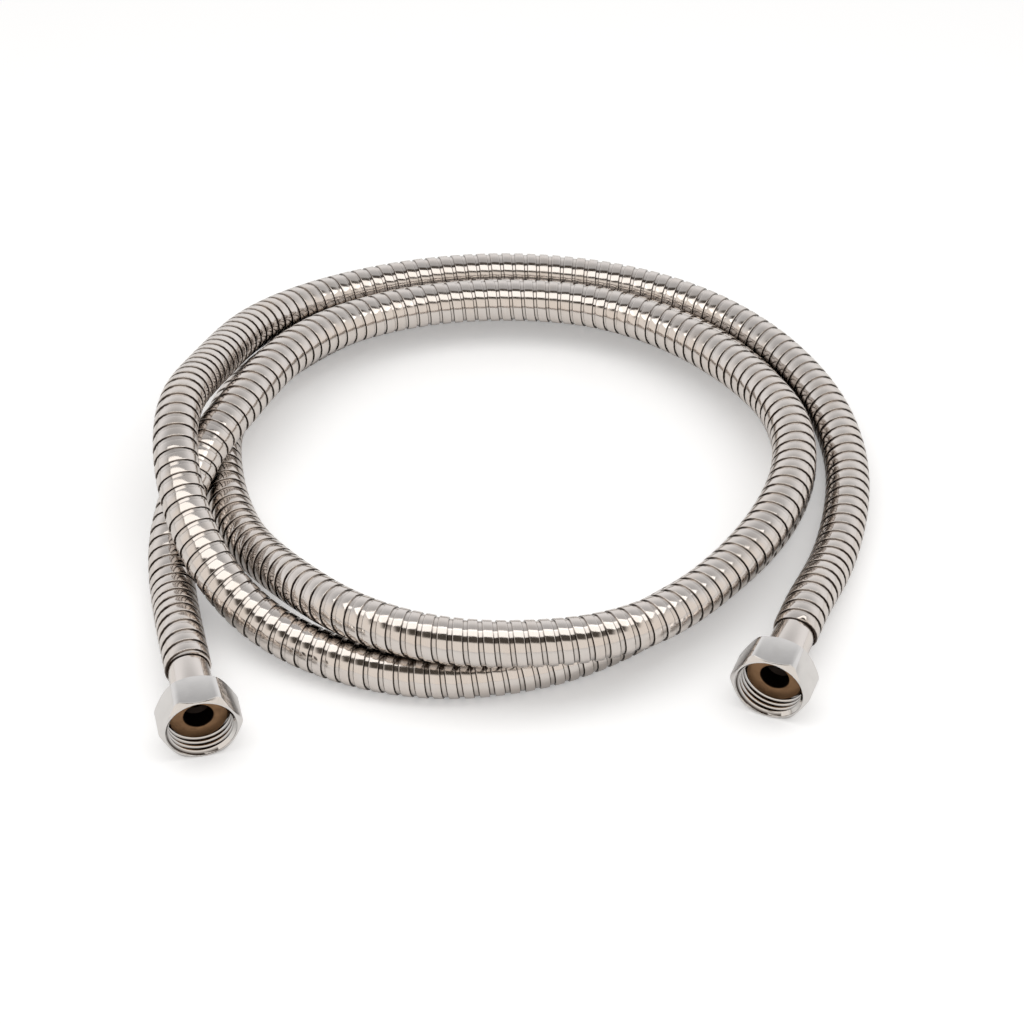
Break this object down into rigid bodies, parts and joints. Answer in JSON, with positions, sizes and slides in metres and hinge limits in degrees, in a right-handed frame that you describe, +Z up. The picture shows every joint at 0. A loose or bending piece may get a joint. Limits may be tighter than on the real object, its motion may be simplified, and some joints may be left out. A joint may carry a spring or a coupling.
{
  "type": "flexible shower hose",
  "caption": "Flexible metal shower hose lying in a loose flat coil, with a hexagonal swivel nut and a plain ferrule at each end.",
  "frame": {"origin": "under the middle of the part's bounding box, on the table", "axes": "+Z up, +Y away from the two nuts towards the far side of the coil, +X towards the right nut"},
  "size_m": [0.2258, 0.2356, 0.0404],
  "materials": {
    "polished_steel": "polished, warm grey",
    "bright_chrome": "bright plated",
    "dull_brass": "turned, dull brown",
    "soft_white_tube": "matt, off-white"
  },
  "bodies": {
    "hose": {"hose_casing": "polished_steel", "inner_tube": "soft_white_tube", "left_ferrule": "polished_steel", "left_insert": "dull_brass", "right_ferrule": "polished_steel", "right_insert": "dull_brass"},
    "right_nut": {"right_swivel_nut": "bright_chrome"},
    "left_nut": {"left_swivel_nut": "bright_chrome"}
  },
  "joints": [
    {"name": "right_nut_swivel", "type": "hinge", "parent": "hose", "child": "right_nut", "pos_m": [0.0736, -0.09908, 0.011], "axis": [-0.3665, -0.9304, 0], "continuous": true},
    {"name": "left_nut_swivel", "type": "hinge", "parent": "hose", "child": "left_nut", "pos_m": [-0.0899, -0.11528, 0.011], "axis": [0.2334, -0.9724, 0], "continuous": true}
  ]
}
